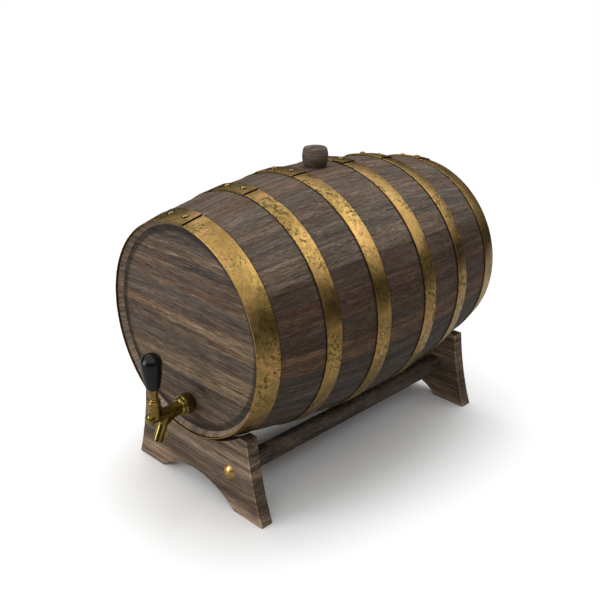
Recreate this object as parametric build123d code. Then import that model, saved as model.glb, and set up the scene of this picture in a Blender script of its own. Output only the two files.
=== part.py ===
from build123d import *
from math import asin, atan2, cos, degrees, pi, radians, sin, sqrt, tan
import os

# Oak wine barrel lying on a two-board cradle stand, with brass hoops, a tap and a bung.
# Millimetres, +Z up. The floor is z = 0 and the tap points along -Y.
# The origin is the middle of the whole object's footprint, on the floor.

# ---- Cask ----
barrel_length = 506.2         # over the two chime hoops
bilge_diameter = 362.4        # over the hoops' line at mid-length
end_diameter = 300.0          # over the chime hoops at their outer edge
stave_thickness = 15.0
stave_modules = 34            # stave widths in one turn
bung_stave_modules = 3        # the bung stave is this many widths
stave_seam = 0.1              # open line between two staves
chime_width = 6.2             # radial width of the sloping stave end
chime_depth = 6.9             # from the stave's end in to the head's face
croze_depth = 4.0             # groove past the chime's inner edge
croze_clearance = 0.3
bilge_clearance = 67.0        # floor to the underside of the bulge

# ---- Heads ----
head_thickness = 13.7
head_tongue = 6.0             # rim of the head that sits in the groove
head_bevel = 4.5              # from the tongue to the full thickness
head_board_width = 61.9
head_joint_offset = -9.4      # height of one board joint from the barrel's axis
dowel_radius = 3.5
dowel_reach = 16.0            # length in each board
dowel_share = 0.5             # of the way from the middle plane to the head's edge
dowel_clearance = 0.1

# ---- Hoops and rivets ----
hoop_thickness = 1.6
hoop_clearance = 0.3          # between hoop and staves
hoop_overhang = 2.5           # chime hoop past the stave's end
hoop_corner = 0.45
chime_hoop_width = 32.4
quarter_hoop_width = 24.3
quarter_hoop_offset = 139.1   # hoop's middle from mid-length
bilge_hoop_width = 26.3
bilge_hoop_offset = 50.5
lap_angles = (-17.0, 6.0)     # degrees from the top, towards +X
rivet_angles = (-10.2, 1.0)
rivet_head_radius = 4.4
rivet_head_height = 2.4
rivet_shank_radius = 2.0
rivet_clearance = 0.1

# ---- Bung ----
bung_waist_diameter = 37.4    # at its fullest, above the hole
bung_mouth_diameter = 31.0    # where it enters the hole
bung_foot_diameter = 27.0
bung_height = 28.8            # above the staves
bung_waist_height = 15.0
bung_shoulder_drop = 5.5      # from the crown's middle down to the shoulder
bung_shoulder_diameter = 34.6
bung_rim_inset = 3.2          # crown's rim inside the shoulder
bung_crown = 1.8              # crown's rise above its rim
bung_foot_past_stave = 1.0
bung_clearance = 0.3

# ---- Stand ----
cradle_board = 20.0
cradle_inset = 22.7           # board's middle in from the chime hoop's outer edge
saddle_gap = 0.3
saddle_half_angle = 37.8      # degrees each side of straight down
horn_width = 14.1             # flat top beside the saddle
foot_half_span = 138.0
foot_inner_half_span = 79.6
arch_height = 29.4
side_hollow = 4.2             # how far the board's side curves in
stretcher_radius = 14.0
stretcher_spread = 74.0       # from the middle plane
stretcher_gap = 6.8           # to the bulge
screw_shank_radius = 3.0
screw_bite = 28.0             # into the stretcher
screw_clearance = 0.15
screw_head_radius = 11.0
screw_head_height = 5.5

# ---- Tap ----
tap_drop = 108.0              # below the barrel's axis
tap_stand_off = 58.3          # head's face to the tower's axis
pipe_radius = 8.0
pipe_bore = 5.5
tower_radius = 8.5
pivot_height = 18.0           # lever's pivot above the pipe's axis
bonnet_radius = 8.7
bonnet_foot = 0.4             # bonnet's lower edge above the pivot
bonnet_ring = 5.8             # bonnet's shoulder above the pivot
bonnet_groove = 0.5
spigot_shoulder = 1.0         # tower's ledge around the spigot
spigot_height = 3.0
spigot_clearance = 0.2
nose_radius = 8.0
nose_length = 4.8
nose_gap = 0.2                # tower's front to the nose plug's seat
nose_stub = 2.5
spout_radius = 6.8
spout_bore = 4.9
spout_length = 40.5           # along its axis, from the pipe's axis
spout_tip = 22.0              # straight end that takes a hose
spout_heel_radius = 7.8       # where it meets the pipe
spout_lean = 24.1             # degrees forward of straight down
spout_root = 17.6             # behind the tower's axis
flange_radius = 9.6
flange_thickness = 2.0
collar_radius = 14.4
collar_length = 12.3
coupling_radius = 15.0
coupling_length = 8.0
coupling_rim = 2.2            # straight edge of the domed nut
coupling_lip = 4.0            # wall in front of the pipe's flange
shank_radius = 10.0
shank_bore = 7.2
shank_tail = 16.0             # past the head's inner face
lock_nut_flats = 32.0
lock_nut_thickness = 8.0
thread_clearance = 0.2
face_gap = 0.1

# ---- Handle and valve ----
handle_swing = 25.0           # degrees, pulled forward
ball_radius = 5.5
socket_clearance = 0.3
stem_radius = 3.0
stem_length = 40.0            # above the pivot
tail_radius = 1.8
swing_clearance = 0.4
ferrule_top_radius = 7.4
ferrule_neck_radius = 5.3
ferrule_neck_height = 11.4    # above the pivot
ferrule_top_height = 24.9
ferrule_foot_radius = 6.8
ferrule_edge = 0.8            # thickness of its flared foot
knob_bottom_radius = 9.0
knob_radius = 14.5
knob_flank_radius = 12.6      # half-way up the flank
knob_flank = 36.2             # bottom to the widest place
valve_block_radius = 5.2
valve_block_front = 4.2       # ahead of the tower's axis
valve_block_back = 10.0       # behind it
valve_rod_radius = 2.0
valve_washer_radius = 6.6
valve_washer_thickness = 3.0
valve_seat_gap = 0.3
valve_flange_radius = 5.0
valve_flange_thickness = 1.5

# ---- Worked-out places ----
bilge_radius = bilge_diameter / 2
half_length = barrel_length / 2
bulge_rise = bilge_radius - end_diameter / 2
bulge_arc = (half_length**2 + bulge_rise**2) / (2 * bulge_rise)
axis_height = bilge_radius + bilge_clearance
stave_end = half_length - hoop_overhang
head_face = stave_end - chime_depth
tap_height = axis_height - tap_drop
tower_reach = head_face + tap_stand_off
spigot_radius = tower_radius - spigot_shoulder
nose_forward = tower_radius + nose_gap
nose_reach = tower_reach + nose_forward + nose_length
barrel_middle = (nose_reach - half_length) / 2
valve_arm = pivot_height
module_angle = 360 / stave_modules


def bulge(y):
    """Radius of the hoops' outer line at a distance y from mid-length."""
    return bilge_radius - (bulge_arc - sqrt(bulge_arc**2 - y**2))


def stave_outer(y):
    return bulge(y) - hoop_thickness - hoop_clearance


def stave_inner(y):
    return stave_outer(y) - stave_thickness


chime_radius = stave_outer(stave_end) - chime_width
head_radius = chime_radius + croze_depth - croze_clearance
head_back = head_face - head_tongue                        # back of the head's tongue
head_body_radius = stave_inner(head_back) - 2 * croze_clearance


def on_barrel(solid):
    """Moves a piece from the barrel's own frame, axis along Y, to its place."""
    return Pos(0, barrel_middle, axis_height) * solid


def turned(profile, start, sweep):
    """Turns a (radius, y) profile about the Y axis, from start degrees past the top towards +X."""
    return Rot(0, start - 90, 0) * revolve(profile, Axis.Y, sweep)


def cap_arc(radius, height, base=0):
    """Arc from the rim of a spherical cap, at the base's height, to its pole on the axis."""
    ball = (radius**2 + height**2) / (2 * height)
    half_turn = asin(radius / ball) / 2
    middle = (ball * sin(half_turn), base + height - ball * (1 - cos(half_turn)))
    return ThreePointArc((radius, base), middle, (0, base + height))


def dome(radius, height):
    """Spherical cap on the XY plane, rising along +Z."""
    outline = [Polyline((0, height), (0, 0), (radius, 0)), cap_arc(radius, height)]
    return revolve(Plane.XZ * make_face(outline), Axis.Z)


def rod(radius, start, end):
    """Cylinder on the Z axis from start to end."""
    return Pos(0, 0, start) * Cylinder(radius, end - start, align=(Align.CENTER, Align.CENTER, Align.MIN))


def rod_y(radius, start, end):
    """Cylinder on the Y axis from start to end."""
    return Pos(0, start, 0) * Rot(-90, 0, 0) * rod(radius, 0, end - start)


# ---- Cask pieces ----
def stave_profile():
    tongue_back = head_back - croze_clearance
    groove = head_radius + croze_clearance
    lip = head_face + face_gap
    half = [
        (stave_outer(stave_end), stave_end),
        (chime_radius, lip),
        (groove, lip),
        (groove, tongue_back),
        (stave_inner(tongue_back), tongue_back),
    ]
    mirrored = [(r, -y) for r, y in half]
    edges = [
        ThreePointArc(mirrored[0], (stave_outer(0), 0), half[0]),
        ThreePointArc(mirrored[-1], (stave_inner(0), 0), half[-1]),
        Polyline(*half),
        Polyline(*mirrored),
    ]
    return make_face(edges)


def stave(start, modules):
    """Stave that begins at a number of module widths from the top, and is some modules wide."""
    seam_angle = degrees(stave_seam / bilge_radius)
    sweep = modules * module_angle - seam_angle
    return turned(stave_profile(), start * module_angle + seam_angle / 2, sweep)


def bung_profile(clearance, shoulders):
    """Half outline of the bung below and, with shoulders, above the staves' top."""
    top = stave_outer(0)
    foot = stave_inner(0) - bung_foot_past_stave
    foot_radius = bung_foot_diameter / 2 + clearance
    mouth_radius = bung_mouth_diameter / 2 + clearance
    if not shoulders:
        return make_face(Polyline((0, foot), (foot_radius, foot), (mouth_radius, top), (0, top), close=True))
    waist = (bung_waist_diameter / 2, top + bung_waist_height)
    shoulder = (bung_shoulder_diameter / 2, top + bung_height - bung_shoulder_drop)
    rim = (shoulder[0] - bung_rim_inset, top + bung_height - bung_crown)
    corner = (shoulder[0] - bung_rim_inset * 0.3, rim[1] - (rim[1] - shoulder[1]) * 0.3)
    edges = [
        Polyline((0, top + bung_height), (0, foot), (foot_radius, foot), (mouth_radius, top)),
        ThreePointArc((mouth_radius, top), waist, shoulder),
        ThreePointArc(shoulder, corner, rim),
        cap_arc(rim[0], bung_crown, rim[1]),
    ]
    return make_face(edges)


def bung_stave():
    opening = revolve(Plane.XZ * bung_profile(bung_clearance, False), Axis.Z)
    mouth = rod(bung_mouth_diameter / 2 + bung_clearance, stave_outer(0) - face_gap, bilge_radius)
    return stave(-bung_stave_modules / 2, bung_stave_modules) - opening - mouth


def bung():
    return revolve(Plane.XZ * bung_profile(0, True), Axis.Z)


def head_disc():
    """Whole head about the Y axis, its outer face towards -Y at the head's face."""
    inner_face = head_face - head_thickness
    outline = Polyline(
        (0, -head_face),
        (head_radius, -head_face),
        (head_radius, -head_back),
        (head_body_radius, -head_back),
        (head_body_radius - head_bevel, -inner_face),
        (0, -inner_face),
        close=True,
    )
    return revolve(make_face(outline), Axis.Y)


def head_joints():
    """Heights of the joints between head boards, from the barrel's axis."""
    limit = head_body_radius - dowel_reach - dowel_radius / 2
    count = int(limit // head_board_width) + 1
    heights = [head_joint_offset + k * head_board_width for k in range(-count, count + 1)]
    return [z for z in heights if abs(z) < limit]


def dowel_places():
    """Middles of the front head's dowels, each pair spread by the head's width at its far ends."""
    places = []
    for z in head_joints():
        edge = sqrt(head_body_radius**2 - (abs(z) + dowel_reach) ** 2)
        places += [(side * dowel_share * edge, -head_face + head_thickness / 2, z) for side in (-1, 1)]
    return places


def head_dowels_front():
    return [Pos(*place) * rod(dowel_radius, -dowel_reach, dowel_reach) for place in dowel_places()]


def head(front):
    disc = head_disc()
    middle = -head_face + head_thickness / 2
    reach = dowel_reach + dowel_clearance
    for z in head_joints():
        disc -= Pos(0, middle, z) * Box(2 * head_radius + 1, head_thickness + 1, stave_seam)
    for place in dowel_places():
        disc -= Pos(*place) * rod(dowel_radius + dowel_clearance, -reach, reach)
    if front:
        hole = rod_y(shank_radius + thread_clearance, -head_face - 1, -head_face + head_thickness + 1)
        return disc - Pos(0, 0, -tap_drop) * hole
    return Rot(0, 0, 180) * disc


# ---- Hoops ----
def hoop_section(low, high, inner_shift, outer_shift):
    """Strip section between two distances from mid-length, its outer corners rounded."""
    corners = [
        (bulge(low) + inner_shift, low),
        (bulge(high) + inner_shift, high),
        (bulge(high) + outer_shift, high),
        (bulge(low) + outer_shift, low),
    ]
    section = make_face(Polyline(*corners, close=True))
    outer = [v for v in section.vertices() if abs(v.X - bulge(v.Y) - outer_shift) < 1e-6]
    return fillet(outer, hoop_corner)


def rivet_frames(low, high):
    """Outward-facing locations of one hoop's rivets, on top of its lap."""
    middle = (low + high) / 2
    line_radius = (bulge(low) + bulge(high)) / 2
    lean = degrees(atan2(bulge(low) - bulge(high), high - low))
    return [
        Rot(0, angle, 0) * Pos(0, middle, line_radius + hoop_thickness) * Rot(-lean, 0, 0)
        for angle in rivet_angles
    ]


def hoop(low, high):
    ring = revolve(hoop_section(low, high, -hoop_thickness, 0), Axis.Y)
    lap_section = hoop_section(low, high, -hoop_thickness / 2, hoop_thickness)
    start, end = lap_angles
    strip = ring + turned(lap_section, start, end - start)
    for frame in rivet_frames(low, high):
        strip -= frame * rod(rivet_shank_radius + rivet_clearance, -4 * hoop_thickness, hoop_thickness)
    return strip


def rivet():
    return dome(rivet_head_radius, rivet_head_height) + rod(rivet_shank_radius, -2 * hoop_thickness, 0.2)


def hoop_spans():
    """Name and y range of each hoop, front to rear."""
    spans = {}
    for end, sign in (("front", -1), ("rear", 1)):
        chime_middle = half_length - chime_hoop_width / 2
        for kind, middle, width in (
            ("chime", chime_middle, chime_hoop_width),
            ("quarter", quarter_hoop_offset, quarter_hoop_width),
            ("bilge", bilge_hoop_offset, bilge_hoop_width),
        ):
            spans[f"{end}_{kind}_hoop"] = (sign * middle - width / 2, sign * middle + width / 2)
    return spans


# ---- Stand ----
inner_face = half_length - cradle_inset - cradle_board / 2
outer_face = half_length - cradle_inset + cradle_board / 2
saddle_radius = bulge(inner_face) + saddle_gap
stretcher_drop = sqrt((bilge_radius + stretcher_gap + stretcher_radius) ** 2 - stretcher_spread**2)
stretcher_height = axis_height - stretcher_drop


def cradle():
    """Cradle board about the stand's middle plane, between y = 0 and its thickness."""
    horn_inner = saddle_radius * sin(radians(saddle_half_angle))
    horn_height = axis_height - saddle_radius * cos(radians(saddle_half_angle))
    horn_outer = horn_inner + horn_width
    side_middle = ((foot_half_span + horn_outer) / 2 - side_hollow, horn_height / 2)
    edges = [
        ThreePointArc((-foot_inner_half_span, 0), (0, arch_height), (foot_inner_half_span, 0)),
        ThreePointArc(
            (-horn_inner, horn_height),
            (0, axis_height - saddle_radius),
            (horn_inner, horn_height),
        ),
    ]
    for side in (-1, 1):
        edges += [
            Line((side * foot_inner_half_span, 0), (side * foot_half_span, 0)),
            ThreePointArc(
                (side * foot_half_span, 0),
                (side * side_middle[0], side_middle[1]),
                (side * horn_outer, horn_height),
            ),
            Line((side * horn_outer, horn_height), (side * horn_inner, horn_height)),
        ]
    board = Pos(0, cradle_board, 0) * extrude(Plane.XZ * make_face(edges), cradle_board)
    for side in (-1, 1):
        hole = rod_y(screw_shank_radius + screw_clearance, -1, cradle_board + 1)
        board -= Pos(side * stretcher_spread, 0, stretcher_height) * hole
    return board


def stretcher(side):
    bar = rod_y(stretcher_radius, -inner_face, inner_face)
    depth = screw_bite + 1
    for start, end in ((-inner_face - 1, -inner_face + depth), (inner_face - depth, inner_face + 1)):
        bar -= rod_y(screw_shank_radius + screw_clearance, start, end)
    return Pos(side * stretcher_spread, barrel_middle, stretcher_height) * bar


def stand_screws():
    shank = rod(screw_shank_radius, -cradle_board - screw_bite, 0.2)
    screw = dome(screw_head_radius, screw_head_height) + shank
    screws = []
    for side in (-1, 1):
        for end in (-1, 1):
            place = Pos(side * stretcher_spread, barrel_middle + end * outer_face, stretcher_height)
            screws.append(place * Rot(-90 * end, 0, 0) * screw)
    return screws


# ---- Tap, in its own frame: y = 0 is the tower's axis, z = 0 the pipe's axis ----
face_y = tap_stand_off                       # head's outer face
collar_front = face_y - collar_length
shank_front = collar_front - coupling_length + coupling_lip + flange_thickness + face_gap
seat_y = shank_front - face_gap              # pipe's rear face, where the valve seats


def on_tap(solid):
    return Pos(0, barrel_middle - tower_reach, tap_height) * solid


def about_pivot(angle):
    """Turns about the lever's pivot by an angle in degrees, top towards -Y."""
    return Pos(0, 0, pivot_height) * Rot(angle, 0, 0)


def bar(radius, start, end, angle=0):
    """Square bar along the lever from start to end above the pivot, at an angle of the swing."""
    width = 2 * (radius + swing_clearance)
    return about_pivot(angle) * Pos(0, 0, (start + end) / 2) * Box(width, width, end - start)


def swing_room(radius, start, end):
    """Slot that a stem on the lever sweeps, from rest to its full swing."""
    width = 2 * (radius + swing_clearance)
    turn = radians(handle_swing)
    far = end if abs(end) > abs(start) else start
    sector = Polyline(
        (0, pivot_height),
        (0, pivot_height + far),
        (-far * tan(turn / 2), pivot_height + far),
        (-far * sin(turn), pivot_height + far * cos(turn)),
        close=True,
    )
    wedge = extrude(Plane.YZ * make_face(sector), width / 2, both=True)
    return wedge + bar(radius, start, end) + bar(radius, start, end, handle_swing)


def socket():
    return Pos(0, 0, pivot_height) * Sphere(ball_radius + socket_clearance)


def spout_at(solid):
    """Places a piece made along +Z so that it runs down the spout from the pipe's axis."""
    return Pos(0, spout_root, 0) * Rot(180 - spout_lean, 0, 0) * solid


def tap_body():
    pipe = rod_y(pipe_radius, -nose_forward, seat_y)
    flange = rod_y(flange_radius, seat_y - flange_thickness, seat_y)
    tower = rod(tower_radius, 0, pivot_height + bonnet_foot)
    spigot = rod(spigot_radius, 0, pivot_height + bonnet_foot + spigot_height)
    heel_length = spout_length - spout_tip
    heel = Cone(spout_heel_radius, spout_radius, heel_length, align=(Align.CENTER, Align.CENTER, Align.MIN))
    spout = spout_at(rod(spout_radius, heel_length, spout_length) + heel + Sphere(spout_heel_radius))
    body = pipe + flange + tower + spigot + spout
    body -= spout_at(rod(spout_bore, 0, spout_length + 1))
    body -= rod_y(pipe_bore, -nose_forward - 1, seat_y + 1)
    body -= swing_room(stem_radius, 0, stem_length)
    return body - socket() - swing_room(tail_radius, -valve_arm - tail_radius, 0)


def tap_nose():
    cap = Pos(0, -nose_forward, 0) * Rot(90, 0, 0) * dome(nose_radius, nose_length)
    return cap + rod_y(pipe_bore - thread_clearance, -nose_forward - 0.5, -nose_forward + nose_stub)


dome_radius = sqrt(bonnet_radius**2 + bonnet_ring**2)


def tap_bonnet():
    low = pivot_height + bonnet_foot
    top = Pos(0, 0, pivot_height) * Sphere(dome_radius) & rod(bonnet_radius, low, low + 2 * dome_radius)
    groove = rod(bonnet_radius + 1, low - 1, low + bonnet_groove) - rod(
        bonnet_radius - bonnet_groove, low - 1, low + bonnet_groove
    )
    well = rod(spigot_radius + spigot_clearance, low - 1, low + spigot_height + spigot_clearance)
    return top - groove - well - socket() - swing_room(stem_radius, 0, stem_length)


def tap_lever():
    """Ball, threaded stem and tail that works the valve."""
    ball = Sphere(ball_radius)
    stem = rod(stem_radius, 0, stem_length)
    tail = rod(tail_radius, -valve_arm, 0) + Pos(0, 0, -valve_arm) * Sphere(tail_radius)
    return Pos(0, 0, pivot_height) * (ball + stem + tail)


def handle_ferrule():
    """Turned sleeve whose flared foot turns over the bonnet's dome."""
    hollow = dome_radius + socket_clearance
    edge_height = sqrt(hollow**2 - ferrule_foot_radius**2)
    outline = Polyline(
        (0, edge_height),
        (ferrule_foot_radius, edge_height),
        (ferrule_foot_radius, edge_height + ferrule_edge),
        (ferrule_neck_radius, ferrule_neck_height),
        (ferrule_top_radius, ferrule_top_height),
        (0, ferrule_top_height),
        close=True,
    )
    sleeve = revolve(Plane.XZ * make_face(outline), Axis.Z)
    bore = rod(stem_radius + thread_clearance, 0, ferrule_top_height + 1)
    return Pos(0, 0, pivot_height) * (sleeve - Sphere(hollow) - bore)


def handle_knob():
    widest = ferrule_top_height + knob_flank
    edges = [
        Polyline(
            (0, widest + knob_radius),
            (0, ferrule_top_height),
            (knob_bottom_radius, ferrule_top_height),
        ),
        ThreePointArc(
            (knob_bottom_radius, ferrule_top_height),
            (knob_flank_radius, ferrule_top_height + knob_flank / 2),
            (knob_radius, widest),
        ),
        ThreePointArc(
            (knob_radius, widest),
            (knob_radius * sin(pi / 4), widest + knob_radius * cos(pi / 4)),
            (0, widest + knob_radius),
        ),
    ]
    knob = revolve(Plane.XZ * make_face(edges), Axis.Z)
    socket_depth = rod(stem_radius + thread_clearance, ferrule_top_height - 1, stem_length + thread_clearance)
    return Pos(0, 0, pivot_height) * (knob - socket_depth)


washer_front = seat_y + valve_seat_gap
washer_back = washer_front + valve_washer_thickness


def valve_shaft():
    block = rod_y(valve_block_radius, -valve_block_front, valve_block_back)
    shaft = block + rod_y(valve_rod_radius, 0, washer_back + valve_flange_thickness)
    shaft += rod_y(valve_flange_radius, washer_back, washer_back + valve_flange_thickness)
    turn = radians(handle_swing)
    half_width = tail_radius + swing_clearance
    lag = valve_arm * turn - (pivot_height - valve_block_radius) * tan(turn)
    slot_front = half_width / cos(turn) + lag
    slot_length = slot_front + half_width
    slot_depth = valve_block_radius + half_width
    slot = Box(2 * half_width, slot_length, slot_depth, align=(Align.CENTER, Align.MIN, Align.MIN))
    return shaft - Pos(0, -slot_front, -half_width) * slot


def valve_washer():
    ring = rod_y(valve_washer_radius, washer_front, washer_back)
    return ring - rod_y(valve_rod_radius + face_gap, washer_front - 1, washer_back + 1)


def coupling_nut():
    """Domed ring nut that pulls the pipe's flange against the shank."""
    front = collar_front - coupling_length
    rim_front = collar_front - coupling_rim
    lip_radius = pipe_radius + thread_clearance
    bend = ((coupling_radius * 3 + lip_radius) / 4, rim_front - (rim_front - front) * 0.6)
    edges = [
        Polyline((0, front), (lip_radius + 1, front)),
        ThreePointArc((lip_radius + 1, front), bend, (coupling_radius, rim_front)),
        Line((coupling_radius, rim_front), (coupling_radius, collar_front)),
        Polyline((coupling_radius, collar_front), (0, collar_front), (0, front)),
    ]
    nut = revolve(make_face(edges), Axis.Y)
    nut -= rod_y(lip_radius, front - 1, collar_front + 1)
    return nut - rod_y(shank_radius + thread_clearance, front + coupling_lip - face_gap, collar_front + 1)


def shank_collar():
    ring = rod_y(collar_radius, collar_front + face_gap, face_y - face_gap)
    return ring - rod_y(shank_radius + thread_clearance, collar_front - 1, face_y + 1)


def tap_shank():
    back = face_y + head_thickness + shank_tail
    return rod_y(shank_radius, shank_front, back) - rod_y(shank_bore, shank_front - 1, back + 1)


def lock_nut():
    front = face_y + head_thickness + face_gap
    hexagon = RegularPolygon(lock_nut_flats / 2, 6, major_radius=False)
    nut = Pos(0, front, 0) * Rot(-90, 0, 0) * extrude(hexagon, lock_nut_thickness)
    return nut - rod_y(shank_radius + thread_clearance, front - 1, front + lock_nut_thickness + 1)


def all_parts():
    parts = {"stave_01": on_barrel(bung_stave())}
    others = stave_modules - bung_stave_modules
    for k in range(others):
        parts[f"stave_{k + 2:02d}"] = on_barrel(stave(bung_stave_modules / 2 + k, 1))
    rivets = []
    for name, (low, high) in hoop_spans().items():
        parts[name] = on_barrel(hoop(low, high))
        rivets += [on_barrel(frame * rivet()) for frame in rivet_frames(low, high)]
    parts["hoop_rivets"] = Compound(children=rivets)
    parts["bung"] = on_barrel(bung())
    parts["front_head"] = on_barrel(head(True))
    parts["rear_head"] = on_barrel(head(False))
    dowels = [on_barrel(piece) for piece in head_dowels_front()]
    dowels += [on_barrel(Rot(0, 0, 180) * piece) for piece in head_dowels_front()]
    parts["head_dowels"] = Compound(children=dowels)
    front = cradle()
    parts["front_cradle"] = Pos(0, barrel_middle - outer_face, 0) * front
    parts["rear_cradle"] = Pos(0, barrel_middle + inner_face, 0) * front
    parts["stretcher_left"] = stretcher(-1)
    parts["stretcher_right"] = stretcher(1)
    parts["stand_screws"] = Compound(children=stand_screws())
    for make in (
        tap_body, tap_nose, tap_bonnet, tap_lever, handle_ferrule, handle_knob, valve_shaft,
        valve_washer, coupling_nut, shank_collar, tap_shank, lock_nut,
    ):
        parts[make.__name__] = on_tap(make())
    return parts


os.makedirs("parts", exist_ok=True)
for node, shape in all_parts().items():
    export_step(shape, f"parts/{node}.step")
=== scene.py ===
import math
import random

import bpy
import bmesh
from mathutils import Matrix, Vector, noise


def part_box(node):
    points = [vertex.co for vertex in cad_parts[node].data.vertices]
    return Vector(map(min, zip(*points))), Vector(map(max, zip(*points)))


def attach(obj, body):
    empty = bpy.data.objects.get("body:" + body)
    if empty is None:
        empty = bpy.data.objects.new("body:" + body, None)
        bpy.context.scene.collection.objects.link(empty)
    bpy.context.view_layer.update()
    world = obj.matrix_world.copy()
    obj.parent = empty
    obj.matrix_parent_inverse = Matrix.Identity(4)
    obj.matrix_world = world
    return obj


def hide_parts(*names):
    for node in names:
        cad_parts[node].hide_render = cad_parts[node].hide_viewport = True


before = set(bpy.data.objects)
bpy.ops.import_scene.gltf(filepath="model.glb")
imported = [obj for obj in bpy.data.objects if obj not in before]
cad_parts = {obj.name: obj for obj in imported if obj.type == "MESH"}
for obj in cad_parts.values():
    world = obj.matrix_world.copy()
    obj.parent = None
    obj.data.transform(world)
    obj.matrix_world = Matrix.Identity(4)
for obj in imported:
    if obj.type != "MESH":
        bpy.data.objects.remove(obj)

MM = 0.001
TURN = 2 * math.pi
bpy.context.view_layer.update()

# ---------------------------------------------------------------- places, read from the frame

chime_low, chime_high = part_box("front_chime_hoop")
rear_low, rear_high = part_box("rear_chime_hoop")
bilge_low, bilge_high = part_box("front_bilge_hoop")
MIDDLE = (chime_low.y + rear_high.y) / 2          # mid-length of the barrel
HALF = (rear_high.y - chime_low.y) / 2
AXIS = bilge_low.z + bilge_high.x                 # height of the barrel's axis
HOOP = 1.6 * MM
HOOP_GAP = 0.3 * MM
STAVE = 15.0 * MM
OVERHANG = 2.5 * MM
MODULES = 34                                      # stave widths in the turn
BUNG_MODULES = 3                                  # widths that the bung's stave spans
LAP = (-17.0, 6.0)                                # degrees past the top where a hoop's lap starts and ends
RIVETS = (-10.2, 1.0)                             # degrees past the top
HOOPS = [f"{end}_{kind}_hoop" for end in ("front", "rear") for kind in ("chime", "quarter", "bilge")]


def solve_bulge():
    """Arc radius and bilge radius of the hoops' line, from the two hoop boxes."""
    near = MIDDLE - bilge_high.y
    far = MIDDLE - chime_high.y
    fall = bilge_high.x - chime_high.x
    arc = (far**2 - near**2) / (2 * fall)
    for _ in range(30):
        drop = math.sqrt(arc**2 - near**2) - math.sqrt(arc**2 - far**2)
        arc *= drop / fall
    return arc, bilge_high.x + arc - math.sqrt(arc**2 - near**2)


ARC, BILGE = solve_bulge()


def bulge(y):
    """Radius of the hoops' outer line at a distance y from mid-length."""
    return BILGE - (ARC - math.sqrt(ARC**2 - y**2))


def stave_outer(y):
    return bulge(y) - HOOP - HOOP_GAP


STAVE_END = HALF - OVERHANG
CHIME_WIDTH = 6.2 * MM
CHIME_DEPTH = 6.9 * MM
CHIME_RADIUS = stave_outer(STAVE_END) - CHIME_WIDTH
HEAD_FACE = STAVE_END - CHIME_DEPTH
HEAD_EDGE = stave_outer(HEAD_FACE) - STAVE        # radius where the head meets the staves


def around(radius, y, angle):
    """Point at an angle in radians past the barrel's top, towards +X."""
    return Vector((radius * math.sin(angle), MIDDLE + y, AXIS + radius * math.cos(angle)))


# ---------------------------------------------------------------- mesh helpers

def finish_mesh(name, mesh, material, body, nodes, smooth_angle=40):
    mesh.materials.append(material)
    mesh.polygons.foreach_set("use_smooth", [True] * len(mesh.polygons))
    mesh.set_sharp_from_angle(angle=math.radians(smooth_angle))
    piece = bpy.data.objects.new(name, mesh)
    bpy.context.scene.collection.objects.link(piece)
    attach(piece, body)
    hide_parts(*nodes)
    return piece


def lattice(rows):
    """Vertices and faces of a skin over rows of closed loops, capped at both ends."""
    count = len(rows[0])
    verts = [point for row in rows for point in row]
    faces = []
    for i in range(len(rows) - 1):
        a = i * count
        b = a + count
        for j in range(count):
            k = (j + 1) % count
            faces.append((a + j, a + k, b + k, b + j))
    faces.append(tuple(reversed(range(count))))
    faces.append(tuple(range(len(verts) - count, len(verts))))
    return verts, faces


def make_mesh(name, verts, faces, uvs=None, tints=None):
    """Mesh with an optional grain map (one pair per vertex) and tint (one colour per face)."""
    mesh = bpy.data.meshes.new(name)
    mesh.from_pydata([tuple(v) for v in verts], [], faces)
    if uvs:
        layer = mesh.uv_layers.new(name="grain")
        for loop in mesh.loops:
            layer.data[loop.index].uv = uvs[loop.vertex_index]
    if tints:
        layer = mesh.attributes.new("tint", "FLOAT_COLOR", "CORNER")
        for polygon in mesh.polygons:
            for index in polygon.loop_indices:
                layer.data[index].color = (*tints[polygon.index], 1)
    work = bmesh.new()
    work.from_mesh(mesh)
    bmesh.ops.recalc_face_normals(work, faces=work.faces)
    work.to_mesh(mesh)
    work.free()
    mesh.update()
    return mesh


CORNER_STEPS = 4


def rounded(points, radii):
    """Closed outline with each corner rounded by its own radius, as far as its two sides allow."""
    result = []
    count = len(points)
    for i, point in enumerate(points):
        here = Vector(point)
        before = Vector(points[i - 1]) - here
        after = Vector(points[(i + 1) % count]) - here
        reach = radii[i] / math.tan(before.angle(after) / 2)
        reach = min(reach, before.length * 0.49, after.length * 0.49)
        start = here + before.normalized() * reach
        end = here + after.normalized() * reach
        for step in range(CORNER_STEPS + 1):
            t = step / CORNER_STEPS
            result.append(tuple(start * (1 - t) ** 2 + here * (2 * t * (1 - t)) + end * t**2))
    return result


LATHE_SEGMENTS = 96


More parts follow.
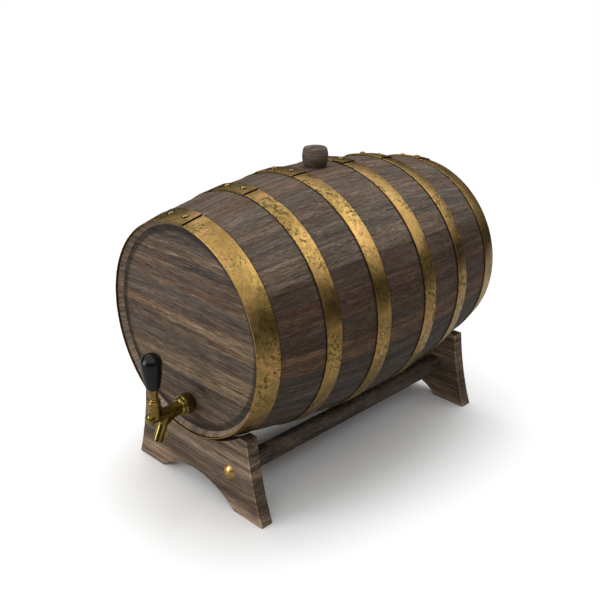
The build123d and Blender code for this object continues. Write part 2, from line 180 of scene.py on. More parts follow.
def lathe(name, outline, place):
    """Mesh turned from a closed outline of (radius, height) points about the Z axis, then placed."""
    segments = LATHE_SEGMENTS
    verts = []
    faces = []
    rings = []
    for radius, height in outline:
        if radius < 1e-7:
            rings.append([len(verts)])
            verts.append(place @ Vector((0, 0, height)))
            continue
        rings.append(list(range(len(verts), len(verts) + segments)))
        for k in range(segments):
            angle = TURN * k / segments
            verts.append(place @ Vector((radius * math.cos(angle), radius * math.sin(angle), height)))
    for low, high in zip(rings, rings[1:] + rings[:1]):
        if len(low) == 1 and len(high) == 1:
            continue
        for k in range(segments):
            n = (k + 1) % segments
            if len(low) == 1:
                faces.append((low[0], high[n], high[k]))
            elif len(high) == 1:
                faces.append((low[k], low[n], high[0]))
            else:
                faces.append((low[k], low[n], high[n], high[k]))
    grain = []
    travelled = 0.0
    previous = None
    for (radius, height), ring in zip(outline, rings):
        if previous is not None:
            travelled += math.hypot(radius - previous[0], height - previous[1])
        previous = (radius, height)
        for k in range(len(ring)):
            grain.append((abs(k / segments - 0.5) * TURN * radius, travelled))
    return make_mesh(name, verts, faces, uvs=grain)


# ---------------------------------------------------------------- material helpers

class Graph:
    """Short way to build a node tree."""

    def __init__(self, name):
        self.material = bpy.data.materials.new(name)
        self.material.use_nodes = True
        self.nodes = self.material.node_tree.nodes
        self.links = self.material.node_tree.links
        self.shader = self.nodes["Principled BSDF"]

    def add(self, kind, inputs=None, **settings):
        node = self.nodes.new(kind)
        for key, value in settings.items():
            setattr(node, key, value)
        for key, value in (inputs or {}).items():
            self.feed(node.inputs[key], value)
        return node

    def feed(self, socket, value):
        if isinstance(value, bpy.types.NodeSocket):
            self.links.new(value, socket)
        else:
            socket.default_value = value

    def math(self, operation, a, b=0.0):
        return self.add("ShaderNodeMath", {0: a, 1: b}, operation=operation).outputs[0]

    def scaled(self, value, factor):
        return self.math("MULTIPLY", value, factor)

    def place(self):
        """Place in the shared frame at rest, in metres."""
        return self.add("ShaderNodeTexCoord").outputs["Object"]

    def facing(self):
        return self.add("ShaderNodeTexCoord").outputs["Normal"]

    def part(self, vector, index):
        return self.add("ShaderNodeSeparateXYZ", {0: vector}).outputs[index]

    def times(self, a, b):
        return self.mix(1.0, a, b, "MULTIPLY")

    def noise(self, vector, scale, detail=3.0, roughness=0.55, distortion=0.0):
        values = {"Vector": vector, "Scale": scale, "Detail": detail, "Roughness": roughness,
                  "Distortion": distortion}
        return self.add("ShaderNodeTexNoise", values).outputs["Fac"]

    def stretch(self, vector, scale):
        return self.add("ShaderNodeMapping", {"Vector": vector, "Scale": scale}).outputs[0]

    def ramp(self, value, stops, mode="LINEAR"):
        node = self.add("ShaderNodeValToRGB", {"Fac": value})
        node.color_ramp.interpolation = mode
        elements = node.color_ramp.elements
        while len(elements) < len(stops):
            elements.new(1.0)
        for element, (place, colour) in zip(elements, stops):
            element.position = place
            element.color = (*colour, 1) if isinstance(colour, tuple) else (colour, colour, colour, 1)
        return node.outputs["Color"]

    def mix(self, amount, a, b, blend="MIX"):
        node = self.add("ShaderNodeMix", data_type="RGBA", blend_type=blend)
        self.feed(node.inputs["Factor"], amount)
        self.feed(node.inputs[6], a if isinstance(a, bpy.types.NodeSocket) else (*a, 1))
        self.feed(node.inputs[7], b if isinstance(b, bpy.types.NodeSocket) else (*b, 1))
        return node.outputs[2]

    def tint(self):
        return self.add("ShaderNodeAttribute", attribute_name="tint").outputs["Color"]

    def bump(self, height, strength, distance):
        values = {"Height": height, "Strength": strength, "Distance": distance}
        return self.add("ShaderNodeBump", values).outputs[0]

    def set(self, **values):
        for key, value in values.items():
            self.feed(self.shader.inputs[key.replace("_", " ")], value)
        return self.material


# Colours of old oak, from its darkest fibres to its lightest, and of its red and grey patches and cracks.
WOOD_DARK = (0.022, 0.016, 0.012)
WOOD_MID = (0.092, 0.066, 0.046)
WOOD_LIGHT = (0.262, 0.200, 0.145)
WOOD_RED = (0.115, 0.050, 0.026)
WOOD_GREY = (0.079, 0.067, 0.058)
CRACK_BLACK = (0.008, 0.006, 0.005)
WANDER = 10 * MM                                  # how far the grain strays sideways
WOOD_RELIEF = 1.6 * MM
WHITE = (1.0, 1.0, 1.0)


def wood(name, grain, tint=None, brightness=1.0, bump=0.35, depth=1, shares=(0.28, 0.36, 0.36)):
    """Aged oak. grain gives metres along the fibres, across them and through the board.

    shares are the weights of the broad bands, the streaks and the fibres. depth packs the grain
    through the board, so that its edges show short lines."""
    g = Graph(name)
    vector = grain(g)
    wander = g.noise(g.stretch(vector, (5, 20, 1)), 1, 3)
    wander = g.add("ShaderNodeCombineXYZ", {1: g.scaled(g.math("SUBTRACT", wander, 0.5), WANDER)})
    vector = g.add("ShaderNodeVectorMath", {0: vector, 1: wander.outputs[0]}, operation="ADD").outputs[0]
    broad = g.noise(g.stretch(vector, (7, 95, depth)), 1, 3, 0.6)
    streak = g.noise(g.stretch(vector, (44, 640, 6 * depth)), 1, 4, 0.7)
    fibre = g.noise(g.stretch(vector, (120, 1500, 12 * depth)), 1, 2, 0.7)
    value = g.math("ADD", g.scaled(broad, shares[0]), g.scaled(streak, shares[1]))
    value = g.math("ADD", value, g.scaled(fibre, shares[2]))
    colour = g.ramp(value, [(0.40, WOOD_DARK), (0.50, WOOD_MID), (0.61, WOOD_LIGHT)])
    hue = g.noise(g.stretch(vector, (4.5, 80, depth)), 1, 4, 0.65)
    colour = g.mix(g.ramp(hue, [(0.54, 0.0), (0.68, 0.42)]), colour, WOOD_RED)
    colour = g.mix(g.ramp(hue, [(0.34, 0.55), (0.46, 0.0)]), colour, WOOD_GREY)
    crack = g.noise(g.stretch(vector, (11, 330, 3 * depth)), 1, 2, 0.5, 0.4)
    crack = g.ramp(crack, [(0.265, 0.85), (0.325, 0.0)])
    colour = g.mix(crack, colour, CRACK_BLACK)
    if tint:
        colour = g.times(colour, tint(g, vector))
    if brightness != 1.0:
        colour = g.times(colour, (brightness,) * 3)
    height = g.math("SUBTRACT", value, g.scaled(crack, 0.5))
    rough = g.math("SUBTRACT", 0.78, g.scaled(value, 0.32))
    normal = g.bump(height, bump, WOOD_RELIEF)
    return g.set(Base_Color=colour, Roughness=rough, Normal=normal, Specular_IOR_Level=0.3)


def uv_grain(g):
    return g.add("ShaderNodeUVMap", uv_map="grain").outputs[0]


EDGE_SHADE_REACH = 3.0 * MM                                  # how far the painted shade and dirt reach from a hoop's edge
# tone of the painted shade and dirt at and under the hoops' edges
EDGE_SHADE_TONE = 0.12


def stave_tint(g, vector):
    """Each stave's own tint, darkened by painted shade and dirt along the hoops' edges."""
    share = g.math("DIVIDE", g.math("SUBTRACT", g.part(g.place(), 1), chime_low.y), 2 * HALF)
    stops = []
    for start, end in sorted((low.y, high.y) for low, high in map(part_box, HOOPS)):
        # painted shade and dirt: darkest at a hoop's edge, fading out away from it
        line = [(start - EDGE_SHADE_REACH, 1.0), (start, EDGE_SHADE_TONE), (end, EDGE_SHADE_TONE), (end + EDGE_SHADE_REACH, 1.0)]
        if start < chime_low.y + MM:
            line = [(end - MM, 1.0)] + line[2:]
        elif end > rear_high.y - MM:
            line = line[:2] + [(start + MM, 1.0)]
        stops += [((y - chime_low.y) / (2 * HALF), (tone, tone, tone)) for y, tone in line]
    return g.times(g.tint(), g.ramp(share, stops))


def axes_grain(order, shift=0.0, drawn_out=1.0):
    """Grain vector from the CAD axes, such as "xzy" for fibres along X. drawn_out lengthens the streaks."""
    def build(g):
        parts = g.add("ShaderNodeSeparateXYZ", {0: g.place()}).outputs
        named = {"x": parts[0], "y": parts[1], "z": parts[2]}
        along = g.math("ADD", g.math("DIVIDE", named[order[0]], drawn_out), shift)
        return g.add("ShaderNodeCombineXYZ", {0: along, 1: named[order[1]], 2: named[order[2]]}).outputs[0]
    return build


# Heights of the head's tone bands from the barrel's axis, in millimetres, with each band's tint.
HEAD_BANDS = [
    (-160, (0.92, 0.83, 0.76)), (-133, (0.98, 0.90, 0.83)), (-97, (0.74, 0.73, 0.74)),
    (-70.7, (1.32, 1.24, 1.06)), (-35.7, (0.66, 0.66, 0.69)), (-9.3, (1.26, 1.13, 1.00)),
    (22, (0.90, 0.91, 0.94)), (52, (1.08, 0.99, 0.91)), (86, (0.80, 0.80, 0.83)),
    (98, (1.18, 1.10, 1.02)), (114.7, (0.76, 0.77, 0.81)),
]
HEAD_REACH = 160                                  # millimetres of bands on each side of the axis
HEAD_LIFT = (1.14, 1.12, 1.08)
RIM_SHADE = (0.35, 0.35, 0.35)                     # painted shade in the corner between head and staves


def head_tint(g, vector):
    """Level bands of tone, one for each board or part of one, with painted shade in the corner round the
    head.
    """
    place = g.place()
    height = g.part(place, 2)
    share = g.math("DIVIDE", g.math("SUBTRACT", height, AXIS - HEAD_REACH * MM), 2 * HEAD_REACH * MM)
    stops = [((z + HEAD_REACH) / (2 * HEAD_REACH), band) for z, band in HEAD_BANDS]
    tone = g.times(g.ramp(share, stops, "CONSTANT"), HEAD_LIFT)
    rim = g.add("ShaderNodeVectorMath", {0: place, 1: (0, 0, AXIS)}, operation="SUBTRACT").outputs[0]
    rim = g.add("ShaderNodeVectorMath", {0: rim, 1: (1, 0, 1)}, operation="MULTIPLY").outputs[0]
    rim = g.add("ShaderNodeVectorMath", {0: rim}, operation="LENGTH").outputs["Value"]
    rim = g.math("DIVIDE", rim, HEAD_EDGE)
    # painted shade: a dark ring where the head meets the staves
    return g.times(tone, g.ramp(rim, [(0.97, WHITE), (1.0, RIM_SHADE)]))


BOARD_TOP = 240
# Heights on the boards in millimetres as BOARD_TOP, with the tone there.
BOARD_BANDS = [
    (0, 1.22), (20, 1.32), (30, 0.70), (58, 0.76), (72, 1.08), (118, 1.14), (150, 0.92), (200, 1.0),
]
BOARD_FACE = (1.12, 1.09, 1.03)
BOARD_EDGE = (0.80, 0.74, 0.68)
UPWARD_SHADE = (0.66, 0.65, 0.64)                 # on top of that, painted shade on faces that look up
WORN_ARRIS = (2.3, 2.2, 2.0)
BAND_DRIFT = 50 * MM                              # how far a band strays up and down


def board_tint(g, vector):
    """Bands along the board, lighter worn arrises, darker edges and painted shade on upward faces, told
    apart by the surface's normal.
    """
    facing = g.facing()
    level = g.math("ABSOLUTE", g.part(facing, 1))
    chips = g.noise(g.stretch(vector, (60, 60, 60)), 1, 4, 0.7)
    tone = g.ramp(level, [(0.0, BOARD_EDGE), (0.25, BOARD_EDGE), (0.40, WORN_ARRIS), (0.93, WORN_ARRIS),
                          (0.99, BOARD_FACE)])
    tone = g.mix(g.ramp(chips, [(0.38, 0.7), (0.55, 0.0)]), tone, (1.0, 0.98, 0.94))
    place = g.place()
    drift = g.scaled(g.math("SUBTRACT", g.noise(place, 9, 2), 0.5), BAND_DRIFT)
    share = g.math("DIVIDE", g.math("ADD", g.part(place, 2), drift), BOARD_TOP * MM)
    stops = [(z / BOARD_TOP, (band, band * 0.98, band * 0.95)) for z, band in BOARD_BANDS]
    tone = g.times(tone, g.ramp(share, stops))
    # painted shade on faces that look up, such as the saddle under the barrel
    return g.times(tone, g.ramp(g.part(facing, 2), [(0.75, WHITE), (0.95, UPWARD_SHADE)]))


BRASS_RELIEF = 0.7 * MM
FINE_RELIEF = 0.3 * MM


def brass(name, gold, dark, copper, grime, rough, bump, speckle=0.60, cluster_at=0.50, stain_at=0.50,
          tinted=False):
    """Aged brass: mottled gold with coppery patches, clustered dark specks and wider stains.

    A higher speckle, cluster_at or stain_at leaves less of each."""
    g = Graph(name)
    place = g.place()
    cloud = g.noise(place, 26, 5, 0.6)
    mottle = g.noise(place, 140, 5, 0.65)
    colour = g.mix(g.ramp(cloud, [(0.36, 0.0), (0.60, 1.0)]), dark, gold)
    patch = g.noise(place, 19, 5, 0.6, 0.6)
    colour = g.mix(g.ramp(patch, [(0.51, 0.0), (0.63, 0.75)]), colour, copper)
    colour = g.mix(g.ramp(mottle, [(0.36, 0.55), (0.52, 0.0)]), colour, dark)
    cluster = g.ramp(g.noise(place, 24, 4, 0.65), [(cluster_at - 0.05, 0.0), (cluster_at + 0.12, 1.0)])
    specks = g.ramp(g.noise(place, 300, 4, 0.7), [(speckle - 0.09, 0.0), (speckle, 1.0)])
    specks = g.math("MULTIPLY", cluster, specks)
    colour = g.mix(g.scaled(specks, 0.9), colour, grime)
    stain = g.ramp(g.noise(place, 13, 3, 0.6), [(stain_at, 0.0), (stain_at + 0.10, 1.0)])
    blots = g.ramp(g.noise(place, 150, 4, 0.7), [(0.47, 0.0), (0.60, 1.0)])
    stain = g.math("MULTIPLY", stain, blots)
    colour = g.mix(g.scaled(stain, 0.85), colour, grime)
    spots = g.math("MAXIMUM", specks, stain)
    if tinted:
        colour = g.times(colour, g.tint())
    roughness = g.math("ADD", g.scaled(mottle, 0.26), rough - 0.13)
    roughness = g.math("ADD", roughness, g.scaled(spots, 0.25))
    height = g.math("ADD", g.scaled(mottle, 0.8), g.scaled(g.noise(place, 900, 2, 0.6), 0.10))
    height = g.math("ADD", height, g.scaled(g.noise(place, 45, 2), 1.1))
    height = g.math("SUBTRACT", height, g.scaled(spots, 0.35))
    normal = g.bump(height, bump, BRASS_RELIEF)
    return g.set(Base_Color=colour, Metallic=1.0, Roughness=roughness, Normal=normal)


def black_gloss():
    g = Graph("black_knob")
    place = g.place()
    smear = g.noise(place, 60, 4, 0.6)
    colour = g.ramp(smear, [(0.3, (0.003, 0.003, 0.003)), (0.7, (0.007, 0.006, 0.006))])
    rough = g.math("ADD", g.scaled(smear, 0.16), 0.17)
    normal = g.bump(g.noise(place, 700, 2), 0.05, FINE_RELIEF)
    return g.set(Base_Color=colour, Roughness=rough, Normal=normal, Specular_IOR_Level=0.36)


def rubber():
    g = Graph("black_rubber")
    dust = g.noise(g.place(), 300, 3)
    colour = g.ramp(dust, [(0.3, (0.02, 0.02, 0.02)), (0.7, (0.04, 0.04, 0.04))])
    return g.set(Base_Color=colour, Roughness=0.8, Normal=g.bump(dust, 0.2, FINE_RELIEF))


OAK_STAVES = wood("oak_staves", uv_grain, stave_tint)
OAK_HEADS = wood("oak_heads", axes_grain("xzy", drawn_out=1.6), head_tint)
OAK_BOARDS = wood("oak_boards", axes_grain("xzy", shift=3.37, drawn_out=2.4), board_tint,
                  brightness=1.42, bump=0.4, depth=12, shares=(0.36, 0.32, 0.32))
OAK_RODS = wood("oak_rods", axes_grain("yzx"), brightness=0.8)
OAK_BUNG = wood("oak_bung", axes_grain("xzy", shift=5.0), brightness=0.95)
HOOP_BRASS = brass(
    "hoop_brass", gold=(0.58, 0.375, 0.13), dark=(0.33, 0.215, 0.066), copper=(0.66, 0.37, 0.155),
    grime=(0.085, 0.076, 0.024), rough=0.30, bump=0.4, tinted=True)
SCREW_BRASS = brass(
    "screw_brass", gold=(0.72, 0.45, 0.14), dark=(0.40, 0.25, 0.08), copper=(0.66, 0.36, 0.13),
    grime=(0.1, 0.08, 0.04), rough=0.32, bump=0.06, speckle=0.75, stain_at=0.85)
RIVET_BRASS = brass(
    "rivet_brass", gold=(0.62, 0.41, 0.15), dark=(0.26, 0.17, 0.055), copper=(0.6, 0.33, 0.14),
    grime=(0.04, 0.03, 0.015), rough=0.28, bump=0.15, speckle=0.62, tinted=True)
TAP_BRASS = brass(
    "tap_brass", gold=(0.41, 0.30, 0.080), dark=(0.15, 0.108, 0.028), copper=(0.36, 0.21, 0.06),
    grime=(0.024, 0.020, 0.010), rough=0.20, bump=0.12, speckle=0.68, cluster_at=0.54, stain_at=0.62)
BLACK_KNOB = black_gloss()
BLACK_RUBBER = rubber()


# ---------------------------------------------------------------- staves

END_GRAIN = 2.1                                   # how much brighter the worn chime is
TINT_SEED = 4
GRAIN_SEED = 11
# Tints set one by one, from the bung stave's last width round past +X. The rest are drawn at random.
SET_TINTS = [
    (1.02, 0.88, 0.79), (0.88, 0.88, 0.88), (1.02, 0.96, 0.90), (0.92, 0.93, 0.94),
    (1.22, 1.17, 1.08), (0.62, 0.53, 0.47), (0.74, 0.56, 0.46), (0.66, 0.58, 0.50),
    (1.12, 0.84, 0.62), (0.62, 0.60, 0.60),
]
BUNG_TINT = (0.84, 0.82, 0.80)                    # of the bung stave's middle width
STAVE_STEPS = 56                                  # along the outside
INNER_STEPS = 12                                  # along the inside
BAND_STEPS = 6                                    # across one width
CHIME_BELLY = 1.6 * MM
CHIME_CORNER = (1.0 * MM, 1.2 * MM)               # inward and along
GROOVE_DEPTH = 4.0 * MM                           # outward from the chime's inner edge
GROOVE_WIDTH = 6.3 * MM
SEAM_WIDTH = 0.9 * MM                             # of the worn edge on each side of a seam
SEAM_DROP = 0.10 * MM
SEAM_SHOULDER = 0.03 * MM
SEAM_GAP = 0.02 * MM                              # half the gap between two staves
UNEVEN = 0.05 * MM                                # most that a stave lies low
SKIN = 2 * MM                                     # points nearer the outside than this are its outer skin


def stave_tints():
    """One tint for each stave width in the turn, starting at the bung's middle width."""
    draw = random.Random(TINT_SEED)
    tints = [BUNG_TINT] + SET_TINTS
    while len(tints) < MODULES:
        level = draw.uniform(0.62, 1.15)
        warm = draw.uniform(-0.06, 0.10)
        tints.append((level * (1 + warm), level, level * (1 - warm)))
    return tints


def stave_outline():
    """Closed (radius, y, grain length) loop of a stave's section along the barrel."""
    rim = stave_outer(STAVE_END)
    groove = CHIME_RADIUS + GROOVE_DEPTH
    groove_back = HEAD_FACE - GROOVE_WIDTH
    corner_in, corner_along = CHIME_CORNER
    points = []
    for k in range(STAVE_STEPS + 1):
        y = STAVE_END * (2 * k / STAVE_STEPS - 1)
        points.append((stave_outer(y), y))
    points[0] = (points[0][0], corner_along - STAVE_END)
    points[-1] = (points[-1][0], STAVE_END - corner_along)
    end = []
    for share in (0.0, 0.12, 0.3, 0.5, 0.7, 0.85, 1.0):
        belly = CHIME_BELLY * math.sin(math.pi * share)
        end.append((rim - CHIME_WIDTH * share + belly * 0.6, STAVE_END - CHIME_DEPTH * share + belly * 0.7))
    end[0] = (rim - corner_in, STAVE_END)
    end += [(groove, HEAD_FACE), (groove, groove_back), (stave_outer(groove_back) - STAVE, groove_back)]
    points += end
    for k in range(1, INNER_STEPS):
        y = groove_back * (1 - 2 * k / INNER_STEPS)
        points.append((stave_outer(y) - STAVE, y))
    points += [(r, -y) for r, y in reversed(end)]
    result = []
    length = 0.0
    for k, (r, y) in enumerate(points):
        if k:
            length += math.hypot(r - points[k - 1][0], y - points[k - 1][1])
        result.append((r, y, length))
    return result


def stave_columns(modules):
    """(share of the width, drop) across a stave, with its worn edges at the seams."""
    edge = SEAM_WIDTH / (TURN * BILGE / MODULES) / modules
    inner = BAND_STEPS * modules
    columns = [(0.0, SEAM_DROP), (edge * 0.35, SEAM_SHOULDER), (edge, 0.0)]
    columns += [(k / inner, 0.0) for k in range(1, inner)]
    return columns + [(1 - edge, 0.0), (1 - edge * 0.35, SEAM_SHOULDER), (1.0, SEAM_DROP)]


def stave_mesh(name, start, modules, tints, draw):
    """Stave from a number of widths past the top. Its grain never lines up with its neighbour's."""
    outline = stave_outline()
    module = TURN / MODULES
    seam = SEAM_GAP / BILGE
    shift = draw.uniform(0, 40)
    lift = draw.uniform(-UNEVEN, 0.0)
    rows = []
    uvs = []
    columns = stave_columns(modules)
    for share, drop in columns:
        angle = start * module + seam + share * (modules * module - 2 * seam)
        row = []
        for r, y, length in outline:
            sunk = lift - drop if r > stave_outer(y) - SKIN else 0
            row.append(around(r + sunk, y, angle))
            uvs.append((length + shift, angle * BILGE))
        rows.append(row)
    verts, faces = lattice(rows)
    count = len(outline)
    face_tints = []
    for i in range(len(columns) - 1):
        middle = (columns[i][0] + columns[i + 1][0]) / 2
        tone = tints[min(int(middle * modules), modules - 1)]
        streak = draw.uniform(0.93, 1.08)
        for k in range(count):
            a, b = outline[k], outline[(k + 1) % count]
            on_chime = min(abs(a[1]), abs(b[1])) > HEAD_FACE - 0.1 * MM and abs(a[0] - b[0]) > 0.05 * MM
            shade = [0.82 + 0.18 * t for t in tone] if on_chime else tone
            worn = END_GRAIN * streak if on_chime else 1.0
            face_tints.append(tuple(worn * t for t in shade))
    face_tints += [tints[0], tints[-1]]
    return make_mesh(name, verts, faces, uvs, face_tints)


def carve(mesh, cutter_mesh):
    """Takes a cutter's mesh out of another mesh."""
    cutter = bpy.data.objects.new("carve_cutter", cutter_mesh)
    target = bpy.data.objects.new("carve_target", mesh)
    for item in (cutter, target):
        bpy.context.scene.collection.objects.link(item)
    cut = target.modifiers.new("carve", "BOOLEAN")
    cut.object = cutter
    cut.operation = "DIFFERENCE"
    bpy.context.view_layer.update()
    result = bpy.data.meshes.new_from_object(target.evaluated_get(bpy.context.evaluated_depsgraph_get()))
    bpy.data.objects.remove(cutter)
    bpy.data.objects.remove(target)
    return result


BUNGHOLE = {"segments": 64, "radius1": 13.8 * MM, "radius2": 15.9 * MM, "depth": 18 * MM}


def cut_bunghole(mesh):
    """Cuts the bung's tapered hole through a stave."""
    cutter = bpy.data.meshes.new("bung_cutter")
    work = bmesh.new()
    bmesh.ops.create_cone(work, cap_ends=True, **BUNGHOLE)
    bmesh.ops.translate(work, verts=work.verts, vec=(0, MIDDLE, AXIS + stave_outer(0) - 8 * MM))
    work.to_mesh(cutter)
    work.free()
    return carve(mesh, cutter)


def make_staves():
    tints = stave_tints()
    draw = random.Random(GRAIN_SEED)
    half = BUNG_MODULES // 2
    bung_tints = [tints[-half + k] for k in range(BUNG_MODULES)]
    mesh = stave_mesh("stave_01_skin", -BUNG_MODULES / 2, BUNG_MODULES, bung_tints, draw)
    mesh = cut_bunghole(mesh)
    finish_mesh("stave_01_oak", mesh, OAK_STAVES, "barrel", ["stave_01"])
    for k in range(MODULES - BUNG_MODULES):
        node = f"stave_{k + 2:02d}"
        tone = tints[half + 1 + k]
        mesh = stave_mesh(node, BUNG_MODULES / 2 + k, 1, [tone], draw)
        finish_mesh(node + "_oak", mesh, OAK_STAVES, "barrel", [node])


make_staves()

# ---------------------------------------------------------------- hoops

HOOP_CORNERS = (0.15 * MM, 0.15 * MM, 0.8 * MM, 0.8 * MM)   # the two inner ones, then the two outer ones
HOOP_STEPS = 360
LAP_RAMP = math.radians(4)                        # over which the strip climbs onto its own start
LAP_GAP = 0.02 * MM
LAP_TONE = 0.86
LAP_FOOT_SHADE = 0.10                                   # painted shade: the dark line at the foot of the lap's end, also on the strip's two ends
DENT = 0.22 * MM
EDGE_WEAR = 0.10 * MM


def hoop_section(width):
    """Rounded strip section: (distance across the strip, height) about its middle."""
    half = width / 2
    return rounded([(-half, 0), (half, 0), (half, HOOP), (-half, HOOP)], HOOP_CORNERS)


def make_hoop(node, seed):
    """One strip bent round the barrel, its end lapped over its start."""
    low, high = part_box(node)
    start_y = low.y - MIDDLE
    end_y = high.y - MIDDLE
    middle = (start_y + end_y) / 2
    section = hoop_section(end_y - start_y)
    begin = math.radians(LAP[0])
    finish = math.radians(LAP[1]) + TURN
    over = begin + TURN
    step = (finish - begin) / HOOP_STEPS
    rows = []
    for k in range(HOOP_STEPS + 1):
        angle = begin + step * k
        climb = min(max((angle - over + LAP_RAMP) / LAP_RAMP, 0), 1)
        climb = climb * climb * (3 - 2 * climb)
        row = []
        for across, height in section:
            y = middle + across
            base = bulge(y) - HOOP + climb * (HOOP + LAP_GAP)
            spot = Vector((math.sin(angle) * 9, math.cos(angle) * 9, y * 70 + seed * 10))
            dent = (noise.noise(spot) * 0.5 + noise.noise(spot * 4) * 0.2 - 0.45) * DENT
            edge = noise.noise(Vector((math.sin(angle) * 14, math.cos(angle) * 14, seed + 40)))
            share = across / (end_y - start_y) * 2
            radius = base + height + (dent if height > 0.5 * HOOP else 0)
            row.append(around(radius, y - (1 + edge) * EDGE_WEAR * share**3, angle))
        rows.append(row)
    verts, faces = lattice(rows)
    tints = []
    for k in range(HOOP_STEPS):
        angle = begin + step * (k + 0.5)
        tone = LAP_TONE if angle > over - LAP_RAMP / 2 else 1.0
        # painted shade along the foot of the lap's end
        if abs(angle - finish + TURN) < step / 2:
            tone = LAP_FOOT_SHADE
        tints += [(tone, tone * 0.97, tone * 0.92)] * len(section)
    tints += [(LAP_FOOT_SHADE,) * 3] * 2
    mesh = make_mesh(node, verts, faces, None, tints)
    finish_mesh(node + "_brass", mesh, HOOP_BRASS, "barrel", [node], 50)


for index, node in enumerate(HOOPS):
    make_hoop(node, index + 1)


RIVET_SHADE_TONES = (0.10, 0.10, 0.35, 1.0)             # painted shade and dirt on the collar round the foot, then the dome
RIVET_COLLAR = [(5.3, -0.4), (5.15, 0.1)]         # (radius, height) in millimetres, as all of these
RIVET_RADIUS = 4.4
RIVET_HEIGHT = 2.4
RIVET_TIP = 2.38
RIVET_FOOT = 0.12
RIVET_RINGS = 6
RIVET_SEGMENTS = 28
RIVET_SEED = 3


def rivet_outline():
    outline = list(RIVET_COLLAR)
    for ring in range(RIVET_RINGS):
        turn = ring / RIVET_RINGS * math.pi / 2
        height = max(RIVET_HEIGHT * math.sin(turn) ** 0.8, RIVET_FOOT)
        outline.append((RIVET_RADIUS * math.cos(turn) ** 0.75, height))
    return outline


def make_rivets():
    """Two domed rivets on each hoop's lap, as one mesh."""
    work = bmesh.new()
    paint = work.loops.layers.float_color.new("tint")
    draw = random.Random(RIVET_SEED)
    outline = rivet_outline()
    segments = RIVET_SEGMENTS
    for node in HOOPS:
        low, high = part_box(node)
        y_low, y_high = low.y - MIDDLE, high.y - MIDDLE
        middle = (y_low + y_high) / 2
        radius = (bulge(y_low) + bulge(y_high)) / 2 + HOOP
        lean = math.atan2(bulge(y_low) - bulge(y_high), y_high - y_low)
        for degrees in RIVETS:
            angle = math.radians(degrees)
            place = Matrix.Translation(around(radius, middle, angle)) @ Matrix.Rotation(angle, 4, "Y")
            place = place @ Matrix.Rotation(-lean, 4, "X")
            size = draw.uniform(0.95, 1.0)
            loops = []
            for reach, height in outline:
                loop = []
                for k in range(segments):
                    turn = TURN * k / segments
                    r = reach * MM * size * (1 + 0.03 * math.sin(turn * 3 + degrees))
                    spot = Vector((r * math.cos(turn), r * math.sin(turn), height * MM))
                    loop.append(work.verts.new(place @ spot))
                loops.append(loop)
            loops.append([work.verts.new(place @ Vector((0, 0, RIVET_TIP * MM)))])
            for level, (a, b) in enumerate(zip(loops, loops[1:])):
                # painted shade and dirt darken the rivet's lowest rings
                tone = RIVET_SHADE_TONES[min(level, len(RIVET_SHADE_TONES) - 1)]
                for k in range(segments):
                    n = (k + 1) % segments
                    corners = (a[k], a[n], b[0]) if len(b) == 1 else (a[k], a[n], b[n], b[k])
                    for corner in work.faces.new(corners).loops:
                        corner[paint] = (tone, tone, tone, 1)
            work.faces.new(list(reversed(loops[0])))
    bmesh.ops.recalc_face_normals(work, faces=work.faces)
    mesh = bpy.data.meshes.new("hoop_rivets")
    work.to_mesh(mesh)
    work.free()
    finish_mesh("hoop_rivet_heads", mesh, RIVET_BRASS, "barrel", ["hoop_rivets"], 60)


make_rivets()

# ---------------------------------------------------------------- CAD nodes that stay

WELD = 0.001 * MM
BEVEL_FROM = math.radians(35)


def keep(nodes, material, bevel=0.0):
    """Gives CAD nodes a finish, welded and with softened edges."""
    for node in nodes:
        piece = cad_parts[node]
        mesh = piece.data
        mesh.materials.clear()
        mesh.materials.append(material)
        weld = piece.modifiers.new("weld", "WELD")
        weld.merge_threshold = WELD
        if bevel:
            soften = piece.modifiers.new("soften", "BEVEL")
            soften.width = bevel
            soften.segments = 3
            soften.limit_method = "ANGLE"
            soften.angle_limit = BEVEL_FROM


keep(["front_head", "rear_head", "head_dowels"], OAK_HEADS)
keep(["stretcher_left", "stretcher_right"], OAK_RODS)
keep(["front_cradle", "rear_cradle"], OAK_BOARDS, 1.6 * MM)
keep(["tap_lever", "valve_shaft", "tap_shank"], TAP_BRASS)
keep(["lock_nut", "shank_collar"], TAP_BRASS, 0.7 * MM)
keep(["valve_washer"], BLACK_RUBBER)
keep(["stand_screws"], SCREW_BRASS)
keep(["bung"], OAK_BUNG, 1.6 * MM)


# ---------------------------------------------------------------- turned pieces of the tap

knob_low, knob_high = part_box("handle_knob")
nose_low, nose_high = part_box("tap_nose")
nut_low, nut_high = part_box("coupling_nut")
# Sizes of the tap in millimetres, heights from the lever's pivot.
KNOB_BOTTOM = 24.9
KNOB_FLANK = 36.2                                 # from its bottom up to its widest
KNOB_HOLE_TOP = 40.2
KNOB_WIDEST = (knob_high.x - knob_low.x) / 2 / MM
TOWER_Y = (knob_low.y + knob_high.y) / 2
PIVOT = knob_low.z - KNOB_BOTTOM * MM
BALL_SOCKET = 5.8
DOME = 10.456
DOME_GAP = 0.3
STEM_HOLE = 3.2


def turned(name, node, body, outline, place, material=TAP_BRASS, cutter=None):
    """Piece turned about the Z axis of its place, from millimetres."""
    mesh = lathe(name, [(r * MM, h * MM) for r, h in outline], place)
    if cutter:
        mesh = carve(mesh, cutter)
    finish_mesh(name, mesh, material, body, [node], 35)


def on_sphere(radius, heights):
    return [(math.sqrt(max(radius**2 - h**2, 0)), h) for h in heights]


